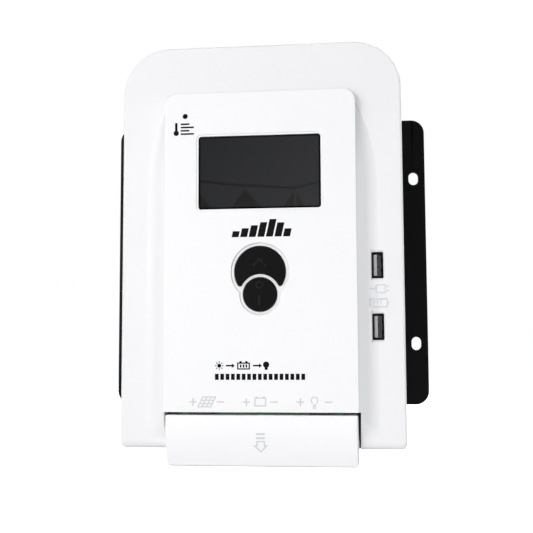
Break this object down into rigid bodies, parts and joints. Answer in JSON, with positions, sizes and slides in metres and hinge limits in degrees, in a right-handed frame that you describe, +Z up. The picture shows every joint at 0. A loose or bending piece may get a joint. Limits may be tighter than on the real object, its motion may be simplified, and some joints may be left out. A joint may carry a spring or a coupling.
{
  "type": "solar charge controller",
  "caption": "Wall-mounted solar charge controller: white housing, raised console, display, keys, USB sockets, slide-off terminal cover and black finned heat sink with slotted flanges.",
  "frame": {"origin": "centre of the four mounting slots' pattern, on the wall plane, which is the back face of the heat sink's centre rib and flanges", "axes": "+X to the right seen from the front, +Y towards the wall, +Z up"},
  "size_m": [0.178, 0.0589, 0.222],
  "materials": {
    "white_shell": "satin moulded ABS",
    "black_anodised": "black anodised, satin",
    "bare_aluminium": "milled",
    "display_lens": "polished dark lens",
    "lcd_stack": "glass and plastic display stack",
    "circuit_board": "solder-masked laminate",
    "black_key": "matte moulded key",
    "dark_plastic": "moulded",
    "light_plastic": "moulded",
    "plated_steel": "nickel plated",
    "terminal_housing": "moulded",
    "copper": "bare copper",
    "ferrite": "sintered"
  },
  "bodies": {
    "housing": {"heatsink": "black_anodised", "heat_spreader": "bare_aluminium", "rear_shell": "white_shell", "front_shell": "white_shell", "lcd_window": "display_lens", "lcd_module": "lcd_stack", "display_board": "circuit_board", "main_board": "circuit_board", "usb_board": "circuit_board", "up_switch_body": "dark_plastic", "power_switch_body": "dark_plastic", "temp_sensor": "dark_plastic", "mosfet_1": "dark_plastic", "mosfet_2": "dark_plastic", "mosfet_3": "dark_plastic", "mosfet_4": "dark_plastic", "capacitor_1": "dark_plastic", "capacitor_2": "dark_plastic", "capacitor_3": "dark_plastic", "usb_tongue_upper": "light_plastic", "usb_tongue_lower": "light_plastic", "blade_fuse": "light_plastic", "display_ribbon": "light_plastic", "usb_shell_upper": "plated_steel", "usb_shell_lower": "plated_steel", "case_screw_1": "plated_steel", "case_screw_2": "plated_steel", "case_screw_3": "plated_steel", "case_screw_4": "plated_steel", "board_screw_1": "plated_steel", "board_screw_2": "plated_steel", "board_screw_3": "plated_steel", "board_screw_4": "plated_steel", "terminal_block": "terminal_housing", "current_bar_1": "copper", "current_bar_2": "copper", "current_bar_3": "copper", "current_bar_4": "copper", "current_bar_5": "copper", "current_bar_6": "copper", "inductor_winding": "copper", "inductor_core": "ferrite"},
    "terminal_cover": {"terminal_cover": "white_shell"},
    "up_button": {"up_button": "black_key", "up_switch_plunger": "light_plastic"},
    "power_button": {"power_button": "black_key", "power_switch_plunger": "light_plastic"},
    "terminal_screw_1": {"terminal_screw_1": "plated_steel"},
    "clamp_cage_1": {"clamp_cage_1": "plated_steel"},
    "terminal_screw_2": {"terminal_screw_2": "plated_steel"},
    "clamp_cage_2": {"clamp_cage_2": "plated_steel"},
    "terminal_screw_3": {"terminal_screw_3": "plated_steel"},
    "clamp_cage_3": {"clamp_cage_3": "plated_steel"},
    "terminal_screw_4": {"terminal_screw_4": "plated_steel"},
    "clamp_cage_4": {"clamp_cage_4": "plated_steel"},
    "terminal_screw_5": {"terminal_screw_5": "plated_steel"},
    "clamp_cage_5": {"clamp_cage_5": "plated_steel"},
    "terminal_screw_6": {"terminal_screw_6": "plated_steel"},
    "clamp_cage_6": {"clamp_cage_6": "plated_steel"}
  },
  "joints": [
    {"name": "up_button_press", "type": "slide", "parent": "housing", "child": "up_button", "axis": [0, 1, 0], "range_m": [0, 0.0008], "stiffness_N_per_m": 300, "springref_m": -0.0005},
    {"name": "power_button_press", "type": "slide", "parent": "housing", "child": "power_button", "axis": [0, 1, 0], "range_m": [0, 0.0008], "stiffness_N_per_m": 300, "springref_m": -0.0005},
    {"name": "terminal_cover_slide", "type": "slide", "parent": "housing", "child": "terminal_cover", "axis": [0, 0, -1], "range_m": [0, 0.035]},
    {"name": "terminal_screw_1_turn", "type": "hinge", "parent": "housing", "child": "terminal_screw_1", "pos_m": [-0.03475, -0.048, -0.09], "axis": [0, 1, 0], "range_deg": [0, 1800]},
    {"name": "terminal_screw_2_turn", "type": "hinge", "parent": "housing", "child": "terminal_screw_2", "pos_m": [-0.02085, -0.048, -0.09], "axis": [0, 1, 0], "range_deg": [0, 1800]},
    {"name": "terminal_screw_3_turn", "type": "hinge", "parent": "housing", "child": "terminal_screw_3", "pos_m": [-0.00695, -0.048, -0.09], "axis": [0, 1, 0], "range_deg": [0, 1800]},
    {"name": "terminal_screw_4_turn", "type": "hinge", "parent": "housing", "child": "terminal_screw_4", "pos_m": [0.00695, -0.048, -0.09], "axis": [0, 1, 0], "range_deg": [0, 1800]},
    {"name": "terminal_screw_5_turn", "type": "hinge", "parent": "housing", "child": "terminal_screw_5", "pos_m": [0.02085, -0.048, -0.09], "axis": [0, 1, 0], "range_deg": [0, 1800]},
    {"name": "terminal_screw_6_turn", "type": "hinge", "parent": "housing", "child": "terminal_screw_6", "pos_m": [0.03475, -0.048, -0.09], "axis": [0, 1, 0], "range_deg": [0, 1800]},
    {"name": "clamp_cage_1_rise", "type": "slide", "parent": "housing", "child": "clamp_cage_1", "axis": [0, -1, 0], "range_m": [0, 0.004]},
    {"name": "clamp_cage_2_rise", "type": "slide", "parent": "housing", "child": "clamp_cage_2", "axis": [0, -1, 0], "range_m": [0, 0.004]},
    {"name": "clamp_cage_3_rise", "type": "slide", "parent": "housing", "child": "clamp_cage_3", "axis": [0, -1, 0], "range_m": [0, 0.004]},
    {"name": "clamp_cage_4_rise", "type": "slide", "parent": "housing", "child": "clamp_cage_4", "axis": [0, -1, 0], "range_m": [0, 0.004]},
    {"name": "clamp_cage_5_rise", "type": "slide", "parent": "housing", "child": "clamp_cage_5", "axis": [0, -1, 0], "range_m": [0, 0.004]},
    {"name": "clamp_cage_6_rise", "type": "slide", "parent": "housing", "child": "clamp_cage_6", "axis": [0, -1, 0], "range_m": [0, 0.004]}
  ],
  "couplings": [
    {"joint": "terminal_screw_1_turn", "follows": "clamp_cage_1_rise", "rad_per_m": 7854},
    {"joint": "terminal_screw_2_turn", "follows": "clamp_cage_2_rise", "rad_per_m": 7854},
    {"joint": "terminal_screw_3_turn", "follows": "clamp_cage_3_rise", "rad_per_m": 7854},
    {"joint": "terminal_screw_4_turn", "follows": "clamp_cage_4_rise", "rad_per_m": 7854},
    {"joint": "terminal_screw_5_turn", "follows": "clamp_cage_5_rise", "rad_per_m": 7854},
    {"joint": "terminal_screw_6_turn", "follows": "clamp_cage_6_rise", "rad_per_m": 7854}
  ]
}
